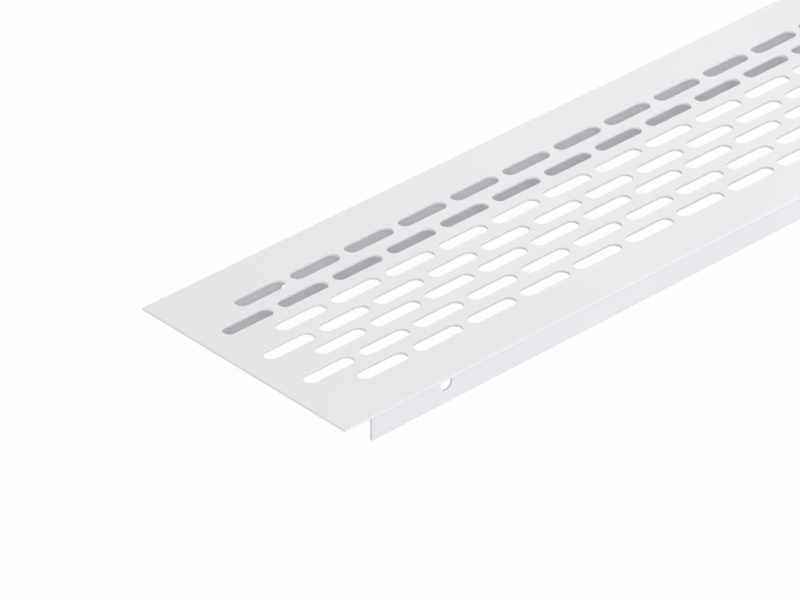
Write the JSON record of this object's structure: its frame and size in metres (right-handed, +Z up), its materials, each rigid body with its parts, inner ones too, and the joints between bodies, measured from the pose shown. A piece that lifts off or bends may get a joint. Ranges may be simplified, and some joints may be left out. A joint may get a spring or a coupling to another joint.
{
  "type": "furniture vent grille",
  "caption": "Long flat vent grille with staggered rows of round-ended slots and inset legs that drop into a cut-out in a furniture panel.",
  "frame": {"origin": "centre of the underside, on the plane of the leg feet", "axes": "+X along the grille, +Y across it from the front edge to the back edge, +Z up out of the slotted face"},
  "size_m": [0.5, 0.1, 0.0187],
  "materials": {
    "white_coat": "satin powder coat on aluminium"
  },
  "bodies": {
    "root": {"vent_grille": "white_coat"}
  },
  "joints": []
}
